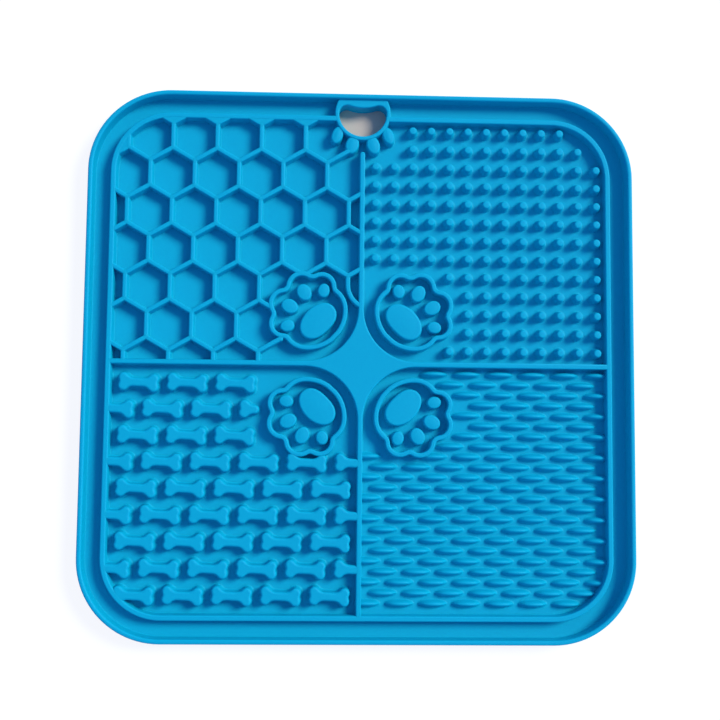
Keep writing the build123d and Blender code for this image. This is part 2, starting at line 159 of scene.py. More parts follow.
def side_section(top, edge=edge_radius, foot=foot_radius, rounds=5):
    """One side of a moulded shape as (growth, height) steps, from below the floor to the top."""
    spread, top_inset = draft + foot, 0.1
    steps = [(spread + skirt, floor_z - sink), (spread + skirt, floor_z + film)]
    for k in range(rounds + 1):
        x, y = polar(foot, 90 * k / rounds)
        steps.append((spread - y, floor_z + 2 * film + foot - x))
    for k in range(rounds + 1):
        x, y = polar(edge, 90 * k / rounds)
        steps.append((x - edge, top - edge + y))
    steps.append((-edge - top_inset, top))
    return steps


print("a side section has", len(side_section(texture_top)), "steps")

# %% [markdown]
# A builder gathers the points and faces of one piece and then makes a mesh of them. A pad is a boss: its
# outline follows the section upwards, and the top is filled, with a crown where it swells a little. Smooth
# shading is kept from running over an edge that is meant to be sharp.

# %% Builder of lofts
crown_rings = (0.85, 0.6, 0.3)
join_distance, sharp_angle = 1e-7, radians(40)


class Builder:
    """Points in millimetres and the faces between them, gathered for one piece."""

    def __init__(self):
        self.points = []
        self.faces = []

    def bands(self, loops, closed=True, ring=False):
        """Faces between each loop of points and the next one."""
        start, count = len(self.points), len(loops[0])
        for loop in loops:
            self.points.extend(loop)
        for level in range(len(loops) if ring else len(loops) - 1):
            low = start + level * count
            high = start + (level + 1) % len(loops) * count
            for k in range(count if closed else count - 1):
                n = (k + 1) % count
                self.faces.append((low + k, low + n, high + n, high + k))

    def fill(self, *outlines):
        """A flat face inside the first outline, with the others as holes in it."""
        start = len(self.points)
        for outline in outlines:
            self.points.extend(outline)
        for corners in tessellate_polygon([[Vector(p) for p in outline] for outline in outlines]):
            self.faces.append([start + corner for corner in corners])

    def boss(self, outline, section, crown=0.0):
        """A filled shape whose side follows the section and whose top rises by the crown."""
        loops = [[(x, y, z) for x, y in grown(outline, growth)] for growth, z in section]
        if crown:
            top = [Vector(p) for p in loops[-1]]
            middle = sum(top, Vector()) / len(top)
            for share in crown_rings:
                rise = Vector((0, 0, crown * (1 - share**2)))
                loops.append([middle + (p - middle) * share + rise for p in top])
        self.bands(loops)
        self.fill(loops[0])
        self.fill(loops[-1])

    def wall(self, line, thickness, section, closed=True):
        """A wall of one thickness that follows a line of points."""
        sides = [(thickness / 2 + growth, z) for growth, z in section]
        sides += [(-thickness / 2 - growth, z) for growth, z in reversed(section)]
        loops = [[(x, y, z) for x, y in grown(line, growth, closed)] for growth, z in sides]
        self.bands(loops, closed, ring=True)
        if not closed:
            self.fill([loop[0] for loop in loops])
            self.fill([loop[-1] for loop in loops])

    def piece(self, name):
        """The gathered shapes as a mesh object with outward faces and smooth shading."""
        mesh = bpy.data.meshes.new(name)
        mesh.from_pydata([Vector(p) * MM for p in self.points], [], self.faces)
        return mesh_object(name, mesh)


def mesh_object(name, mesh):
    """An object for a mesh: joined points, outward faces, and sharp edges only where the angle is large."""
    work = bmesh.new()
    work.from_mesh(mesh)
    bmesh.ops.remove_doubles(work, verts=work.verts, dist=join_distance)
    bmesh.ops.recalc_face_normals(work, faces=work.faces)
    work.to_mesh(mesh)
    work.free()
    mesh.shade_smooth()
    mesh.set_sharp_from_angle(angle=sharp_angle)
    piece = bpy.data.objects.new(name, mesh)
    bpy.context.scene.collection.objects.link(piece)
    return piece


print("a builder can make:", [name for name in vars(Builder) if not name.startswith("_")])

# %% [markdown]
# Silicone is a soft rubber with a satin skin. Light goes a little way into it, so it is shaded with some
# scattering under the surface, and its shine is broad and weak. The skin of a mould is never even: a slow
# noise changes the colour and the roughness a little, and a fine noise makes a bump of a few hundredths of
# a millimetre. All of it reads Object coordinates, so that no piece needs a UV map.

# %% Silicone material
silicone_colour = (0.001, 0.42, 0.58, 1.0)
silicone_deep = (0.001, 0.395, 0.55, 1.0)


def noise_texture(nodes, links, place, scale, detail):
    """A noise texture that reads a place output."""
    noise = nodes.new("ShaderNodeTexNoise")
    noise.inputs["Scale"].default_value = scale
    noise.inputs["Detail"].default_value = detail
    links.new(place, noise.inputs["Vector"])
    return noise.outputs["Fac"]


def silicone_material():
    """Blue silicone with a satin skin that is a little uneven."""
    material = bpy.data.materials.new("silicone_blue")
    material.use_nodes = True
    nodes, links = material.node_tree.nodes, material.node_tree.links
    shader = nodes["Principled BSDF"]
    shader.inputs["IOR"].default_value = 1.41
    shader.inputs["Specular IOR Level"].default_value = 0.14
    shader.inputs["Subsurface Weight"].default_value = 0.2
    shader.inputs["Subsurface Radius"].default_value = (0.2, 0.8, 1.0)
    shader.inputs["Subsurface Scale"].default_value = 0.0015
    place = nodes.new("ShaderNodeTexCoord").outputs["Object"]
    slow = noise_texture(nodes, links, place, scale=30.0, detail=3.0)
    fine = noise_texture(nodes, links, place, scale=2200.0, detail=2.0)
    tint = nodes.new("ShaderNodeMix")
    tint.data_type = "RGBA"
    tint.inputs["A"].default_value = silicone_deep
    tint.inputs["B"].default_value = silicone_colour
    links.new(slow, tint.inputs["Factor"])
    links.new(tint.outputs["Result"], shader.inputs["Base Color"])
    rough = nodes.new("ShaderNodeMapRange")
    rough.inputs["To Min"].default_value = 0.48
    rough.inputs["To Max"].default_value = 0.62
    links.new(slow, rough.inputs["Value"])
    links.new(rough.outputs["Result"], shader.inputs["Roughness"])
    bump = nodes.new("ShaderNodeBump")
    bump.inputs["Strength"].default_value = 0.15
    bump.inputs["Distance"].default_value = 0.00005
    links.new(fine, bump.inputs["Height"])
    links.new(bump.outputs["Normal"], shader.inputs["Normal"])
    return material


silicone = silicone_material()
print("silicone nodes:", len(silicone.node_tree.nodes))

# %% [markdown]
# Every piece ends the same way: it gets the rubber, is tied to the part, and hides the CAD nodes that it
# stands for. Its volume is printed, because a mesh that is open or turned inside out gives itself away there.

# %% Finish of a piece


def solid_volume(piece):
    """The volume inside a piece in cubic millimetres, above zero when its faces look outwards."""
    work = bmesh.new()
    work.from_mesh(piece.data)
    volume = work.calc_volume(signed=True) / MM**3
    work.free()
    return volume


def finish_piece(piece, *cad_nodes):
    """Gives a piece its rubber, ties it to the part and hides the CAD nodes that it stands for."""
    if not piece.data.materials:
        piece.data.materials.append(silicone)
    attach(piece, "root")
    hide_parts(*cad_nodes)
    print(piece.name, "faces:", len(piece.data.polygons), "volume:", round(solid_volume(piece)), "mm3")


print("rubber of every piece:", silicone.name)

# %% [markdown]
# The hang hole sits in the top edge. Its outline is a half circle below, two round lobes above it, and a
# shallow arc between the lobes that runs into both of them. The sheet and the collar share this outline.

# %% Hang hole outline
hang_inset, hang_dip, collar_wall = 5.0, 1.0, 1.5
hang_y = box_mm("hang_collar")[1].y - hang_inset
hang_lobe_x, hang_lobe_radius = 5.9, 2.9
hang_radius = hang_lobe_x + hang_lobe_radius
bead_distance, wall_clearing, nub_clearing = 12.6, 17.0, 18.6


def hang_hole_outline():
    """The outline of the hole, from the left end of its half circle."""
    dip_y = hang_lobe_radius - hang_dip
    dip_radius = (hang_lobe_x**2 + dip_y**2 - hang_lobe_radius**2) / 2
    lobe_end = degrees(atan2(dip_y + dip_radius, -hang_lobe_x))
    dip_middle = (0, hang_y + dip_y + dip_radius)
    points = arc_points((0, hang_y), hang_radius, 180, 360, 32)
    points += arc_points((hang_lobe_x, hang_y), hang_lobe_radius, 0, lobe_end, 14)
    points += arc_points(dip_middle, dip_radius, lobe_end - 180, -lobe_end, 12)
    points += arc_points((-hang_lobe_x, hang_y), hang_lobe_radius, 180 - lobe_end, 180, 14)
    return points


hang_hole = hang_hole_outline()
print("hang hole points:", len(hang_hole))

# %% [markdown]
# The sheet and the rim are one loft. It starts on the floor at the foot of the rim, climbs the inner face,
# goes over the top, runs down the outside and turns under. The floor and the underside are then filled, with
# the hang hole left open.

# %% Sheet and rim


def build_sheet():
    """The sheet and the rim as one loft, with the hang hole through it."""
    edge, under_edge, rounds = 0.7, 0.6, 5
    steps = [(rim_thickness + growth, z) for growth, z in side_section(rim_top, edge)[2:]]
    for k in range(rounds + 1):
        x, y = polar(edge, 90 - 90 * k / rounds)
        steps.append((edge - x, rim_top - edge + y))
    for k in range(rounds + 1):
        x, y = polar(under_edge, -90 * k / rounds)
        steps.append((under_edge - x, under_edge + y))
    loops = []
    for inset, z in steps:
        outline = rounded_square(mat_half - inset, mat_corner_radius - inset)
        loops.append([(x, y, z) for x, y in outline])
    hole_top = [(x, y, loops[0][0][2]) for x, y in hang_hole]
    hole_low = [(x, y, 0.0) for x, y in hang_hole]
    sheet = Builder()
    sheet.bands(loops)
    sheet.bands([hole_top, hole_low])
    sheet.fill(loops[0], hole_top)
    sheet.fill(loops[-1], hole_low)
    return sheet.piece("sheet_and_rim")


finish_piece(build_sheet(), "base_sheet", "outer_rim")

# %% [markdown]
# The rib is one wall that runs round inside the gutter and ends in the collar of the hang hole. The dividers
# and the star are a single outline: four straight arms, joined by arcs that run into them without a corner.
# The top arm stops short of the hang hole and has a round end.

# %% Rib, star and dividers
corner_middle = mat_half - mat_corner_radius
rib_line = rounded_square(rib_middle, rib_middle - corner_middle)


def build_rib():
    """The rib, from the left side of the hang hole round the mat to its right side."""
    rib_end = hang_radius
    first = rib_line.index(max(rib_line, key=lambda p: (round(p[1], 3), -p[0])))
    path = [(-rib_end, rib_middle)] + rib_line[first:] + rib_line[:first] + [(rib_end, rib_middle)]
    rib = Builder()
    rib.wall(path, rib_thickness, side_section(texture_top - tuck), closed=False)
    return rib.piece("rib_wall")


def cross_outline():
    """The outline of the star with its four arms, the right arm first."""
    top_end = box_mm("divider_top")[1].y - divider_half
    arc_radius, arc_steps = star_reach - divider_half, 30
    star_end = 180 - 90 / arc_steps
    points = []
    for quarter in (0, 90, 180, 270):
        if quarter == 90:
            arm = arc_points((top_end, 0), divider_half, -90, 100, 10)
        else:
            arm = [(rib_middle, -divider_half), (rib_middle, divider_half)]
        arm += arc_points((star_reach, star_reach), arc_radius, 270, star_end, arc_steps + 1)
        points += turned(arm, quarter)
    return points


finish_piece(build_rib(), "inner_rib")
cross = Builder()
cross.boss(cross_outline(), side_section(texture_top - 2 * tuck))
dividers = [f"divider_{side}" for side in ("left", "right", "top", "bottom")]
finish_piece(cross.piece("star_and_dividers"), "centre_star", *dividers)

# %% [markdown]
# Four paw figures stand round the star. Each has a wall that follows the heel and the toes, one main pad and
# four toe pads. The wall's line is a chain of arcs that touch each other: a heel arc, two heel sides, four
# toe lobes and a small arc in each notch between them.

# %% Paw outlines
paw_turns = {"top_right": 45, "top_left": 135, "bottom_left": 225, "bottom_right": 315}
paw_middle = 22.3
heel_middle = 24.0
big_lobe, small_lobe, heel_side_radius = 4.8, 4.5, 8.36
big_lobe_place, small_lobe_place = (13.7, 19), (12.5, 51)
notch_radius = 2.45
pad_half_length, pad_half_width, pad_crown, pad_edge = 5.1, 7.7, 0.15, 0.7
pad_side_power, pad_heel_power = 2.6, 2.2


def paw_place(distance, angle):
    """A point of the paw, given from the middle of its main pad."""
    x, y = polar(distance, angle)
    return paw_middle + x, y


def notch_middle(first, first_radius, second, second_radius):
    """The middle of the arc in the notch between two lobes, on the right of the way between them."""
    first, second = Vector(first), Vector(second)
    gap = (second - first).length
    along = (gap**2 + (first_radius + notch_radius) ** 2 - (second_radius + notch_radius) ** 2) / (2 * gap)
    across = sqrt((first_radius + notch_radius) ** 2 - along**2)
    forward = (second - first) / gap
    return first + forward * along + Vector((forward.y, -forward.x)) * across


def angle_to(start, end):
    """The angle in degrees of the way from one point to another."""
    return degrees(atan2(end[1] - start[1], end[0] - start[0]))


def paw_line():
    """The middle line of the paw's wall, with the paw pointing along +X."""
    heel_length, side_offset, past_axis, tolerance = 10.2, 4.04, 15, 0.01
    heel_radius = heel_length**2 + side_offset**2 - heel_side_radius**2
    heel_radius /= 2 * (heel_length - heel_side_radius)
    heel_arc = (heel_middle - heel_length + heel_radius, 0.0)
    side = (heel_middle, side_offset)
    small, big = paw_place(*small_lobe_place), paw_place(*big_lobe_place)
    front = notch_middle((big[0], -big[1]), big_lobe, big, big_lobe)
    toes = notch_middle(big, big_lobe, small, small_lobe)
    heel = notch_middle(small, small_lobe, side, heel_side_radius)
    half = arc_points(front, notch_radius, 180, angle_to(front, big), 4)
    half += arc_points(big, big_lobe, angle_to(big, front), angle_to(big, toes), 14)
    half += arc_points(toes, notch_radius, angle_to(toes, big) + 360, angle_to(toes, small) + 360, 5)
    half += arc_points(small, small_lobe, angle_to(small, toes), angle_to(small, heel), 14)
    half += arc_points(heel, notch_radius, angle_to(heel, small) + 360, angle_to(heel, side) + 360, 5)
    half += arc_points(side, heel_side_radius, angle_to(side, heel), angle_to(heel_arc, side), 10)
    half += arc_points(heel_arc, heel_radius, angle_to(heel_arc, side), 180 + past_axis, 13)
    half = [(x, y) for x, y in half if y > -tolerance]
    return half + [(x, -y) for x, y in reversed(half[1:-1])]


def pad_outline():
    """The main pad: an ellipse whose heel side is flatter."""
    points = []
    for x, y in oval((0, 0), pad_half_length, pad_half_width, 0, 48):
        if x < 0:
            room = max(0, 1 - abs(y / pad_half_width) ** pad_side_power)
            x = -pad_half_length * room ** (1 / pad_heel_power)
        points.append((paw_middle + x, y))
    return points


def toe_outlines():
    """The four toe pads, each given by its distance, angle, half length and half width."""
    toe_shapes = ((11.5, 18.5, 3.2, 2.6), (11.25, 55.5, 2.6, 2.2))
    return [
        oval(paw_place(distance, side * angle), half_length, half_width, side * angle)
        for distance, angle, half_length, half_width in toe_shapes
        for side in (-1, 1)
    ]


print("points of a paw line:", len(paw_line()))

# %% [markdown]
# One paw is drawn pointing along +X, and the other three are the same drawing turned about the middle of the
# mat. The pads have a slight crown, because rubber that shrinks in its mould seldom keeps a dead flat top.

# %% Paw walls and pads
pad_top = box_mm("paw_pad_top_left")[1].z
paw_walls, paw_pads = Builder(), Builder()
for turn in paw_turns.values():
    paw_walls.wall(turned(paw_line(), turn), wall_thickness, side_section(texture_top))
    for outline in [pad_outline()] + toe_outlines():
        paw_pads.boss(turned(outline, turn), side_section(pad_top - pad_crown, pad_edge), pad_crown)
finish_piece(paw_walls.piece("paw_walls"), *[f"paw_ring_{corner}" for corner in paw_turns])
pad_nodes = [f"paw_{kind}_{corner}" for kind in ("pad", "toes") for corner in paw_turns]
finish_piece(paw_pads.piece("paw_pads"), *pad_nodes)

# %% [markdown]
# The collar is a round wall about the hang hole that runs into the rim, so that the hole doesn't tear out.
# Below it stand four long beads, so that the hole and the beads look like one more paw.

# %% Collar and beads
bead_crown, bead_edge = 0.2, 0.9


def build_collar():
    """The wall about the hang hole, closed below and with both edges of its top rounded."""
    radius = hang_radius + collar_wall
    rim_y = mat_half - rim_thickness / 2
    side_angle = degrees(atan2(rim_y - hang_y, sqrt(radius**2 - (rim_y - hang_y) ** 2)))
    outline = arc_points((0, hang_y), radius, -180 - side_angle, side_angle, 48)
    outline.append((polar(radius, side_angle)[0], rim_y))
    section = side_section(texture_top)
    top_edge = section[-7:]
    outer = [[(x, y, z) for x, y in grown(outline, growth)] for growth, z in section]
    inner_section = [(-tuck, floor_z - sink), (0, floor_z)] + top_edge
    inner = [[(x, y, z) for x, y in grown(hang_hole, -growth)] for growth, z in inner_section]
    collar = Builder()
    collar.bands(outer)
    collar.bands(inner)
    collar.fill(outer[-1], inner[-1])
    collar.fill(outer[0], inner[0])
    return collar.piece("hang_hole_collar")


def build_beads():
    """The four beads, each given by its angle, half length, half width and tilt."""
    bead_shapes = ((18, 3.5, 2.5, 17), (48.5, 3.4, 2.15, 20))
    beads = Builder()
    for angle, half_length, half_width, tilt in bead_shapes:
        for side in (-1, 1):
            x, y = polar(bead_distance, side * angle - 90)
            outline = oval((x, hang_y + y), half_length, half_width, 90 + side * tilt)
            beads.boss(outline, side_section(texture_top - 2 * tuck - bead_crown, bead_edge), bead_crown)
    return beads.piece("hang_beads")


finish_piece(build_collar(), "hang_collar")
finish_piece(build_beads(), "hang_toes")

# %% [markdown]
# The four fields repeat one shape many times, which is work for Geometry Nodes. Python writes the places as
# the points of a mesh, and one node tree puts a copy of a template on each point.

# %% Node tree that repeats a template


def new_tree(name, inputs):
    """An empty Geometry Nodes tree with named inputs and a mesh output."""
    tree = bpy.data.node_groups.new(name, "GeometryNodeTree")
    for socket, kind in inputs.items():
        tree.interface.new_socket(socket, in_out="INPUT", socket_type=kind)
    tree.interface.new_socket("Mesh", in_out="OUTPUT", socket_type="NodeSocketGeometry")
    return tree


def end_tree(tree, given, geometry):
    """Ends a tree: copies become real geometry and get the material input."""
    nodes, links = tree.nodes, tree.links
    real = nodes.new("GeometryNodeRealizeInstances")
    paint = nodes.new("GeometryNodeSetMaterial")
    links.new(geometry, real.inputs["Geometry"])
    links.new(real.outputs["Geometry"], paint.inputs["Geometry"])
    links.new(given.outputs["Material"], paint.inputs["Material"])
    links.new(paint.outputs["Geometry"], nodes.new("NodeGroupOutput").inputs["Mesh"])


def repeat_tree():
    """A tree that puts a template on each point of its mesh, turned by a tilt about +Z."""
    tree = new_tree("repeat_on_points", {
        "Points": "NodeSocketGeometry",
        "Template": "NodeSocketObject",
        "Tilt": "NodeSocketFloat",
        "Material": "NodeSocketMaterial",
    })
    nodes, links = tree.nodes, tree.links
    given = nodes.new("NodeGroupInput")
    template = nodes.new("GeometryNodeObjectInfo")
    turn = nodes.new("ShaderNodeCombineXYZ")
    copies = nodes.new("GeometryNodeInstanceOnPoints")
    links.new(given.outputs["Template"], template.inputs["Object"])
    links.new(given.outputs["Tilt"], turn.inputs["Z"])
    links.new(given.outputs["Points"], copies.inputs["Points"])
    links.new(template.outputs["Geometry"], copies.inputs["Instance"])
    links.new(turn.outputs["Vector"], copies.inputs["Rotation"])
    end_tree(tree, given, copies.outputs["Instances"])
    return tree


repeat = repeat_tree()
print("repeat tree nodes:", len(repeat.nodes))

# %% [markdown]
# A tree runs as a modifier on the mesh of places. The result is stored as a plain mesh, so that nothing has
# to be worked out again later, and the places and the template are taken out of the scene.

# %% Run a node tree


def run_tree(name, points, edges, tree, values):
    """Runs a tree on a mesh of points in millimetres, and gives the result as a plain mesh object."""
    mesh = bpy.data.meshes.new(name + "_places")
    mesh.from_pydata([Vector((x, y, 0)) * MM for x, y in points], edges, [])
    places = bpy.data.objects.new(name + "_places", mesh)
    bpy.context.scene.collection.objects.link(places)
    modifier = places.modifiers.new("nodes", "NODES")
    modifier.node_group = tree
    for item in tree.interface.items_tree:
        if item.name in values:
            modifier[item.identifier] = values[item.name]
    places.update_tag()
    bpy.context.view_layer.update()
    evaluated = places.evaluated_get(bpy.context.evaluated_depsgraph_get())
    piece = mesh_object(name, bpy.data.meshes.new_from_object(evaluated))
    bpy.data.objects.remove(places)
    return piece


def remove_template(template):
    """Takes a template out of the scene once its copies are made."""
    bpy.data.objects.remove(template)


def repeated(name, places, template, tilt=0.0):
    """A piece with the template at each place (x, y)."""
    values = {"Template": template, "Tilt": radians(tilt), "Material": silicone}
    return run_tree(name, places, [], repeat, values)


print("sockets of the repeat tree:", [item.name for item in repeat.interface.items_tree])

# %% [markdown]
# The rows of a field run from the divider or the star out to the rib. The rows beside a paw start further
# out, so each field has a short list of first columns for those rows.

# %% Places in rows


def places_to_rib(first, pitch):
    """How many places, from the first one outwards, have their middle inside the rib."""
    return 1 + int((rib_inner - first) / pitch)


def row_start(starts, row):
    """The first column of a row: a row beside the paw has its own."""
    return starts[row] if row < len(starts) else 0


def in_rib_corner(x, y):
    """How far a point lies outside the round inner corner of the rib, below zero for inside."""
    past_x, past_y = abs(x) - corner_middle, abs(y) - corner_middle
    if past_x < 0 or past_y < 0:
        return max(past_x, past_y) - (rib_inner - corner_middle)
    return hypot(past_x, past_y) - (rib_inner - corner_middle)


def hang_distance(x, y):
    """How far a point lies from the middle of the hang hole."""
    return hypot(x, hang_y - y)


nub_first, nub_pitch, nub_radius = 4.95, 6.83, 2.2
nub_row_starts = [4, 5, 5, 5, 4]
nub_count = places_to_rib(nub_first, nub_pitch)
nub_places = []
for row in range(nub_count):
    for column in range(row_start(nub_row_starts, row), nub_count):
        x, y = nub_first + column * nub_pitch, nub_first + row * nub_pitch
        if hang_distance(x, y) > nub_clearing and in_rib_corner(x, y) < -nub_radius:
            nub_places.append((x, y))
print("nubs:", len(nub_places))

# %% [markdown]
# A nub is a tapered peg with a small flat top and a round edge, so it is a profile spun round its axis. A
# dozen sides are enough for a shape this small.

# %% Nub field


def spun(name, profile, sides=12):
    """A shape spun about +Z from (radius, height) steps, closed at both ends."""
    circle = arc_points((0, 0), 1, 0, 360, sides)
    loops = [[(x * radius, y * radius, z) for x, y in circle] for radius, z in profile]
    shape = Builder()
    shape.bands(loops)
    shape.fill(loops[0])
    shape.fill(loops[-1])
    return shape.piece(name)


nub_top = box_mm("nub_field")[1].z
nub_tip, nub_edge, nub_edge_angles = 1.5, 0.6, (10, 40, 70, 90)
nub_foot = [(0.5, -sink), (0.5, 2 * film), (0.0, 0.15), (-0.3, 0.8)]
nub_profile = [(nub_radius + growth, floor_z + height) for growth, height in nub_foot]
for angle in nub_edge_angles:
    x, y = polar(nub_edge, angle)
    nub_profile.append((nub_tip - nub_edge + x, nub_top - nub_edge + y))
nub_template = spun("nub_template", nub_profile)
nub_piece = repeated("nubs", nub_places, nub_template)
remove_template(nub_template)
finish_piece(nub_piece, "nub_field")

# %% [markdown]
# A bone is four round lobes, a waist, and arcs that blend them. It is lofted like the pads. One bone beside
# the paw is only half a bone with a round end.

# %% Bone outline
bone_half_length, bone_half_width, bone_half_waist = 7.25, 3.3, 1.6
bone_lobe, bone_blend, bone_notch = 1.85, 3.0, 1.5
bone_edge, bone_foot, bone_tilt = 0.9, 0.8, -3.0


def bone_quarter():
    """A quarter of the bone's outline, from the notch in its end to its waist."""
    lobe = (bone_half_length - bone_lobe, bone_half_width - bone_lobe)
    notch_x = lobe[0] + sqrt((bone_lobe + bone_notch) ** 2 - lobe[1] ** 2)
    blend_y = bone_half_waist + bone_blend
    blend_x = lobe[0] - sqrt((bone_lobe + bone_blend) ** 2 - (blend_y - lobe[1]) ** 2)
    notch, blend = (notch_x, 0), (blend_x, blend_y)
    points = arc_points(notch, bone_notch, 180, angle_to(notch, lobe), 2)
    points += arc_points(lobe, bone_lobe, angle_to(lobe, notch), angle_to(lobe, blend), 8)
    points += arc_points(blend, bone_blend, angle_to(blend, lobe), -90, 4)
    return points + [(blend_x, bone_half_waist)]


def bone_outline():
    """The whole bone along X."""
    upper = bone_quarter() + [(-x, y) for x, y in reversed(bone_quarter())]
    return upper[:-1] + [(-x, -y) for x, y in upper[:-1]]


def half_bone_outline():
    """The half of the bone on the -X side, with a round end in place of the other half."""
    left = [(-x, y) for x, y in reversed(bone_quarter())] + [(-x, -y) for x, y in bone_quarter()[1:]]
    return arc_points((-bone_half_waist, 0), bone_half_waist, -80, 90, 8) + left


print("points of a bone:", len(bone_outline()), "and of the half bone:", len(half_bone_outline()))

# %% [markdown]
# The divider and the rib cut through the end bones of each second row. The copies there are cut with upright
# planes through the middle of the wall, so that the cut lies hidden inside it. Where the rib turns its round
# corner, the plane touches the corner's arc beside the copy.

# %% Cut copies


def cut_planes(x, y):
    """The planes (point, normal) in the middle of the divider and of the rib that cut a copy at a place."""
    side_x, side_y = x / abs(x), y / abs(y)
    planes = [((0, 0), (-side_x, 0)), ((rib_middle * side_x, 0), (side_x, 0))]
    if abs(x) > corner_middle and abs(y) > corner_middle:
        middle = Vector((side_x, side_y)) * corner_middle
        outward = (Vector((x, y)) - middle).normalized()
        planes.append((middle + outward * (rib_middle - corner_middle), outward))
    return planes


def cut_copies(name, template, places, tilt):
    """Copies of a template, cut off in the middle of the divider and of the rib."""
    total = bmesh.new()
    for x, y in places:
        work = bmesh.new()
        work.from_mesh(template.data)
        bmesh.ops.rotate(work, verts=work.verts, matrix=Matrix.Rotation(radians(tilt), 3, "Z"))
        bmesh.ops.translate(work, verts=work.verts, vec=Vector((x, y, 0)) * MM)
        for point, normal in cut_planes(x, y):
            cut = bmesh.ops.bisect_plane(
                work,
                geom=work.verts[:] + work.edges[:] + work.faces[:],
                plane_co=Vector((point[0], point[1], 0)) * MM,
                plane_no=(normal[0], normal[1], 0),
                clear_outer=True,
            )
            cut_edges = [item for item in cut["geom_cut"] if isinstance(item, bmesh.types.BMEdge)]
            bmesh.ops.edgenet_fill(work, edges=cut_edges)
        copy = bpy.data.meshes.new("copy")
        work.to_mesh(copy)
        work.free()
        total.from_mesh(copy)
        bpy.data.meshes.remove(copy)
    mesh = bpy.data.meshes.new(name)
    total.to_mesh(mesh)
    total.free()
    return mesh_object(name, mesh)


print("cut planes in a straight stretch:", len(cut_planes(-rib_middle, -star_reach)))

# %% [markdown]
# The bones stand in rows like bricks, each second row moved by half a pitch. A bone that fits between the
# divider and the rib is a copy made by the node tree, and the others are cut copies.

# %% Bone field
bone_pitch, bone_row_pitch = 17.385, 9.477
bone_first_column, bone_first_row = 10.44, 7.53
bone_row_starts, half_bone_row, half_bone_column = [2, 2, 2], 1, 2
whole_bones, cut_bones = [], []
for row in range(places_to_rib(bone_first_row + bone_half_width, bone_row_pitch)):
    first = bone_first_column - row % 2 / 2 * bone_pitch
    for column in range(row_start(bone_row_starts, row), places_to_rib(first, bone_pitch)):
        x, y = -first - column * bone_pitch, -bone_first_row - row * bone_row_pitch
        if (row, column) == (half_bone_row, half_bone_column):
            half_bone_place = (x, y)
        elif -x > bone_half_length and in_rib_corner(x - bone_half_length, y - bone_half_width) < 0:
            whole_bones.append((x, y))
        else:
            cut_bones.append((x, y))

bone_section = side_section(texture_top - 3 * tuck, bone_edge, bone_foot, rounds=4)
bone, half_bone = Builder(), Builder()
bone.boss(bone_outline(), bone_section)
half_bone.boss(half_bone_outline(), bone_section)
bone_template = bone.piece("bone_template")
half_template = half_bone.piece("half_bone_template")
bone_pieces = [
    repeated("bones", whole_bones, bone_template, bone_tilt),
    repeated("half_bone", [half_bone_place], half_template, bone_tilt),
    cut_copies("edge_bones", bone_template, cut_bones, bone_tilt),
]
remove_template(bone_template)
remove_template(half_template)
for piece in bone_pieces:
    finish_piece(piece, "bone_field")
print("whole bones:", len(whole_bones), "cut bones:", len(cut_bones))

# %% [markdown]
# A fin is a low blade with a rounded back: ellipses that shrink towards the top, and a small flare at the
# floor. The fins at the divider and at the rib are cut like the bones.

# %% Fin field
fin_half_length, fin_half_width = 5.0, 1.2
fin_pitch, fin_row_pitch = 12.106, 3.761
fin_first_column, fin_first_row = 2.68, 3.23
fin_row_starts, lone_fin_row = [2, 2, 3, 3, 3, 3, 3, 2, 2], 8
fin_top = box_mm("fin_field")[1].z


def fin_template_piece():
    """One fin along X, about the origin."""
    fin_foot = [(0.7, -sink), (0.7, 2 * film), (0.4, 0.08), (0.15, 0.3)]
    back_angles = (16, 36, 55, 72, 85)
    loops = []
    for growth, height in fin_foot:
        outline = oval((0, 0), fin_half_length + growth, fin_half_width + growth, 0, 16)
        loops.append([(x, y, floor_z + height) for x, y in outline])
    for angle in back_angles:
        share, rise = polar(1, angle)
        outline = oval((0, 0), fin_half_length * share, fin_half_width * share, 0, 16)
        loops.append([(x, y, floor_z + (fin_top - floor_z) * rise) for x, y in outline])
    fin = Builder()
    fin.bands(loops)
    fin.fill(loops[0])
    fin.fill(loops[-1])
    return fin.piece("fin_template")


whole_fins, cut_fins = [], []
for row in range(places_to_rib(fin_first_row + fin_half_width, fin_row_pitch)):
    first = fin_first_column + row % 2 / 2 * fin_pitch
    columns = list(range(row_start(fin_row_starts, row), places_to_rib(first, fin_pitch)))
    if row == lone_fin_row:
        columns.append(0)
    for column in columns:
        x, y = first + column * fin_pitch, -fin_first_row - row * fin_row_pitch
        if x > fin_half_length and in_rib_corner(x + fin_half_length, y - fin_half_width) < 0:
            whole_fins.append((x, y))
        elif in_rib_corner(x, y) < rib_thickness:
            cut_fins.append((x, y))

fin_template = fin_template_piece()
fin_pieces = [
    repeated("fins", whole_fins, fin_template),
    cut_copies("edge_fins", fin_template, cut_fins, 0.0),
]
remove_template(fin_template)
for piece in fin_pieces:
    finish_piece(piece, "fin_field")
print("whole fins:", len(whole_fins), "cut fins:", len(cut_fins))

# %% [markdown]
# The honeycomb is a net of straight walls. Python draws the net as edges and cuts them off in the middle of
# the walls around the field. An edge of which only a short stub is left gets no wall. Beside the heel of the
# paw the cells stay open, and one bent guard wall closes the last of them.

# %% Honeycomb net
cell_pitch = 16.17
cell_side, cell_row_pitch = cell_pitch / sqrt(3), cell_pitch * sqrt(3) / 2
cell_first_column, cell_first_row = 4.94, 13.58
smallest_wall, guard_drop, post_radius = 3.3, 7.8, 1.05
cell_foot, plug_edge = 0.2, 0.3
paw_ring = turned(paw_line(), paw_turns["top_left"])


def inside_outline(point, outline):
    """Whether a point lies inside a closed outline, by counting crossings."""
    x, y = point
    inside = False
    for (x0, y0), (x1, y1) in zip(outline, outline[1:] + outline[:1]):
        if (y0 > y) != (y1 > y) and x < (x1 - x0) * (y - y0) / (y1 - y0) + x0:
            inside = not inside
    return inside


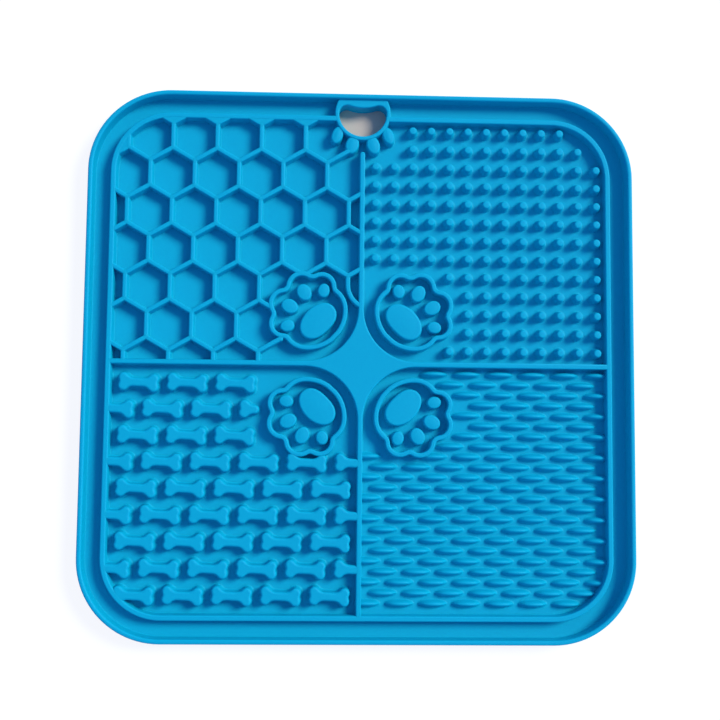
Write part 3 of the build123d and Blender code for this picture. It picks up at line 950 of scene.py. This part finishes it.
def in_honeycomb(point):
    """Whether a wall may stand at a point: inside the rib's line, and away from the paw and the star."""
    x, y = point
    if x > 0 or y < 0 or inside_outline(point, paw_ring):
        return False
    beside_heel = (y - x) / sqrt(2) < heel_middle and hypot(x + star_reach, y - star_reach) < star_reach
    in_star = x > -star_reach and y < star_reach
    return inside_outline(point, rib_line) and not beside_heel and not in_star


def net_edges():
    """The edges of the net as pairs of end points, each one cut off where no wall may stand."""
    edges, half_steps = [], 40
    for row in range(-1, places_to_rib(cell_first_row, cell_row_pitch)):
        for column in range(1 + places_to_rib(cell_first_column, cell_pitch)):
            x = -cell_first_column - (column - row % 2 / 2) * cell_pitch
            y = cell_first_row + row * cell_row_pitch
            for face in (0, 60, 120):
                middle = Vector((x, y)) + Vector(polar(cell_pitch / 2, face))
                along = Vector(polar(cell_side / 2, face + 90))
                steps = range(-half_steps, half_steps + 1)
                points = [tuple(middle + along * k / half_steps) for k in steps]
                runs = [list(run) for inside, run in groupby(points, in_honeycomb) if inside]
                if runs and hang_distance(*middle) > wall_clearing:
                    longest = max(runs, key=len)
                    edges.append((longest[0], longest[-1]))
    return edges


def guard_points():
    """The line of the guard wall: down from a knot beside the heel, then an arc into the divider."""
    knot = (-cell_first_column, cell_first_row + cell_row_pitch + cell_side / 2)
    bend_y = heel_middle * sqrt(2) - cell_first_column
    radius = (cell_first_column**2 + guard_drop**2) / (2 * cell_first_column)
    middle, end = (radius - cell_first_column, bend_y), (0, bend_y - guard_drop)
    return [knot, *arc_points(middle, radius, 180, 360 + angle_to(middle, end), 11), end]


net = net_edges()
honeycomb_walls = [(start, end) for start, end in net if dist(start, end) > smallest_wall]
guard_line = guard_points()
print("edges of the net:", len(net), "honeycomb walls:", len(honeycomb_walls))

# %% [markdown]
# Geometry Nodes turns the edges of the net into curves and sweeps the wall's section along them, so the walls
# follow any change of the net. The section is drawn like that of the other walls, with a smaller fillet.

# %% Honeycomb walls


def sweep_tree():
    """A tree that sweeps a section along every line of edges of its mesh."""
    tree = new_tree("sweep_walls", {
        "Net": "NodeSocketGeometry",
        "Section": "NodeSocketObject",
        "Material": "NodeSocketMaterial",
    })
    nodes, links = tree.nodes, tree.links
    given = nodes.new("NodeGroupInput")
    section = nodes.new("GeometryNodeObjectInfo")
    curves = nodes.new("GeometryNodeMeshToCurve")
    upright = nodes.new("GeometryNodeSetCurveNormal")
    upright.mode = "Z_UP"
    sweep = nodes.new("GeometryNodeCurveToMesh")
    sweep.inputs["Fill Caps"].default_value = True
    links.new(given.outputs["Section"], section.inputs["Object"])
    links.new(given.outputs["Net"], curves.inputs["Mesh"])
    links.new(curves.outputs["Curve"], upright.inputs["Curve"])
    links.new(upright.outputs["Curve"], sweep.inputs["Curve"])
    links.new(section.outputs["Geometry"], sweep.inputs["Profile Curve"])
    end_tree(tree, given, sweep.outputs["Mesh"])
    return tree


def section_curve(thickness, section):
    """A closed curve with a wall's section: across along X, up along -Y, as the sweep lays it."""
    points = [(thickness / 2 + growth, z) for growth, z in section]
    points += [(-across, z) for across, z in reversed(points)]
    curve = bpy.data.curves.new("wall_section", "CURVE")
    curve.dimensions = "3D"
    spline = curve.splines.new("POLY")
    spline.points.add(len(points) - 1)
    for point, (across, up) in zip(spline.points, points):
        point.co = (across * MM, -up * MM, 0, 1)
    spline.use_cyclic_u = True
    return bpy.data.objects.new("wall_section", curve)


def build_honeycomb():
    """The walls of the net and the guard wall."""
    points, edges = [], []
    for ends in honeycomb_walls:
        edges.append((len(points), len(points) + 1))
        points += ends
    edges += [(len(points) + k, len(points) + k + 1) for k in range(len(guard_line) - 1)]
    points += guard_line
    section = side_section(texture_top - 4 * tuck, foot=cell_foot, rounds=4)
    profile = section_curve(wall_thickness, section)
    piece = run_tree("honeycomb", points, edges, sweep_tree(), {"Section": profile, "Material": silicone})
    bpy.data.objects.remove(profile)
    return piece


finish_piece(build_honeycomb(), "honeycomb_walls")

# %% [markdown]
# A small round post at each knot rounds the corners of the cells, as in the mould. Where two walls run into
# the rib from one knot, the small corner between them is filled with a plug.

# %% Honeycomb posts and plugs


def knot_name(point):
    """A point rounded off, so that the ends of walls that meet in one knot are the same."""
    return round(point[0], 1), round(point[1], 1)


def build_posts():
    """A post at each knot of the net where a wall stands."""
    net_ends = [knot_name(end) for edge in net for end in edge]
    wall_ends = {knot_name(end) for wall in honeycomb_walls for end in wall}
    knots = sorted(end for end in wall_ends if net_ends.count(end) > 1)
    section = side_section(texture_top - 3.5 * tuck, foot=cell_foot, rounds=3)
    template = spun("post_template", [(post_radius + growth, z) for growth, z in section])
    posts = repeated("honeycomb_posts", knots, template)
    remove_template(template)
    return posts


def on_rib(point):
    """Whether a wall's end lies on the rib's line, or a quarter of the rib's thickness inside it."""
    return not inside_outline(point, grown(rib_line, -rib_thickness / 4))


def build_plugs():
    """A plug in each small corner between the rib and two walls that run into it from one knot."""
    rib_ends = {}
    for wall in honeycomb_walls:
        for knot, end in (wall, wall[::-1]):
            if on_rib(end):
                rib_ends.setdefault(knot_name(knot), []).append(end)
    plugs = Builder()
    for knot, ends in rib_ends.items():
        if len(ends) == 2:
            corners = [knot, *ends]
            middle = (sum(x for x, y in corners) / 3, sum(y for x, y in corners) / 3)
            corners.sort(key=lambda corner: angle_to(middle, corner))
            plugs.boss(corners, side_section(texture_top - 5 * tuck, plug_edge, plug_edge, rounds=2))
    return plugs.piece("honeycomb_plugs")


finish_piece(build_posts(), "honeycomb_walls")
finish_piece(build_plugs(), "honeycomb_walls")

# %% [markdown]
# The mat lies on a plain white floor. To the camera the open floor is mostly a plain white, and the rest is
# the lit surface, so that it keeps a faint soft shadow of the mat. Under the hang hole lies a round patch of
# grey beige, because no white light falls in there.

# %% Floor
patch_radius, floor_half = 9.5, 3.0
patch_colour, floor_colour = (0.62, 0.5, 0.38, 1.0), (0.9, 0.9, 0.9, 1.0)
white_strength, white_part = 1.1, 0.8


def floor_material():
    """White that keeps a faint shadow, with a patch of another colour under the hang hole."""
    material = bpy.data.materials.new("white_floor")
    material.use_nodes = True
    nodes, links = material.node_tree.nodes, material.node_tree.links
    lit = nodes["Principled BSDF"]
    lit.inputs["Roughness"].default_value = 0.9
    reach = nodes.new("ShaderNodeVectorMath")
    reach.operation = "DISTANCE"
    links.new(nodes.new("ShaderNodeTexCoord").outputs["Object"], reach.inputs[0])
    reach.inputs[1].default_value = (0, (mat_half - patch_radius) * MM, 0)
    open_floor = nodes.new("ShaderNodeMath")
    open_floor.operation = "GREATER_THAN"
    links.new(reach.outputs["Value"], open_floor.inputs[0])
    open_floor.inputs[1].default_value = patch_radius * MM
    colour = nodes.new("ShaderNodeMix")
    colour.data_type = "RGBA"
    colour.inputs["A"].default_value = patch_colour
    colour.inputs["B"].default_value = floor_colour
    links.new(open_floor.outputs["Value"], colour.inputs["Factor"])
    links.new(colour.outputs["Result"], lit.inputs["Base Color"])
    white = nodes.new("ShaderNodeEmission")
    white.inputs["Strength"].default_value = white_strength
    camera_share = nodes.new("ShaderNodeMath")
    camera_share.operation = "MULTIPLY"
    links.new(nodes.new("ShaderNodeLightPath").outputs["Is Camera Ray"], camera_share.inputs[0])
    camera_share.inputs[1].default_value = white_part
    white_share = nodes.new("ShaderNodeMath")
    white_share.operation = "MULTIPLY"
    links.new(camera_share.outputs["Value"], white_share.inputs[0])
    links.new(open_floor.outputs["Value"], white_share.inputs[1])
    mix = nodes.new("ShaderNodeMixShader")
    links.new(white_share.outputs["Value"], mix.inputs["Fac"])
    links.new(lit.outputs["BSDF"], mix.inputs[1])
    links.new(white.outputs["Emission"], mix.inputs[2])
    links.new(mix.outputs["Shader"], nodes["Material Output"].inputs["Surface"])
    return material


floor_mesh = bpy.data.meshes.new("floor")
floor_corners = [(x * floor_half, y * floor_half, 0) for x, y in ((-1, -1), (1, -1), (1, 1), (-1, 1))]
floor_mesh.from_pydata(floor_corners, [], [(0, 1, 2, 3)])
floor_mesh.materials.append(floor_material())
floor = bpy.data.objects.new("floor", floor_mesh)
bpy.context.scene.collection.objects.link(floor)
print("floor size in m:", 2 * floor_half)

# %% [markdown]
# One large soft lamp stands to the right and a little behind the mat, about forty degrees up. The shadows
# of the walls fall to the left and slightly towards the viewer, and their edges are soft. The world gives a
# weak blue fill from all sides, as a clear sky or a blue room would.

# %% Light
key = bpy.data.lights.new("key", "SUN")
key.energy = 3.0
key.angle = radians(22)
lamp = bpy.data.objects.new("key", key)
bpy.context.scene.collection.objects.link(lamp)
key_azimuth, key_elevation = 27, 41
across, up = polar(1, key_elevation)
to_lamp = Vector((*polar(across, key_azimuth), up))
lamp.rotation_euler = (-to_lamp).to_track_quat("-Z", "Y").to_euler()

world = bpy.data.worlds.new("fill")
world.use_nodes = True
background = world.node_tree.nodes["Background"]
background.inputs["Color"].default_value = (0.3, 0.47, 1.0, 1.0)
background.inputs["Strength"].default_value = 0.65
bpy.context.scene.world = world
print("lamp direction:", [round(v, 2) for v in to_lamp])

# %% [markdown]
# The camera hangs almost straight above the mat, a little to the front and to the left.

# %% Camera
lens = bpy.data.cameras.new("camera")
lens.sensor_width = 36.0
lens.lens = 55.0
camera = bpy.data.objects.new("camera", lens)
bpy.context.scene.collection.objects.link(camera)
camera.location = (-0.0156, -0.0332, 0.4039)
camera.rotation_euler = (radians(4.955), radians(-2.261), radians(0.548))
bpy.context.scene.camera = camera
bpy.context.scene.view_settings.view_transform = "Standard"
print("camera height in mm:", round(camera.location.z / MM))

# %% [markdown]
# The look has to fill the same box as the CAD part, or a robot would grasp beside it.
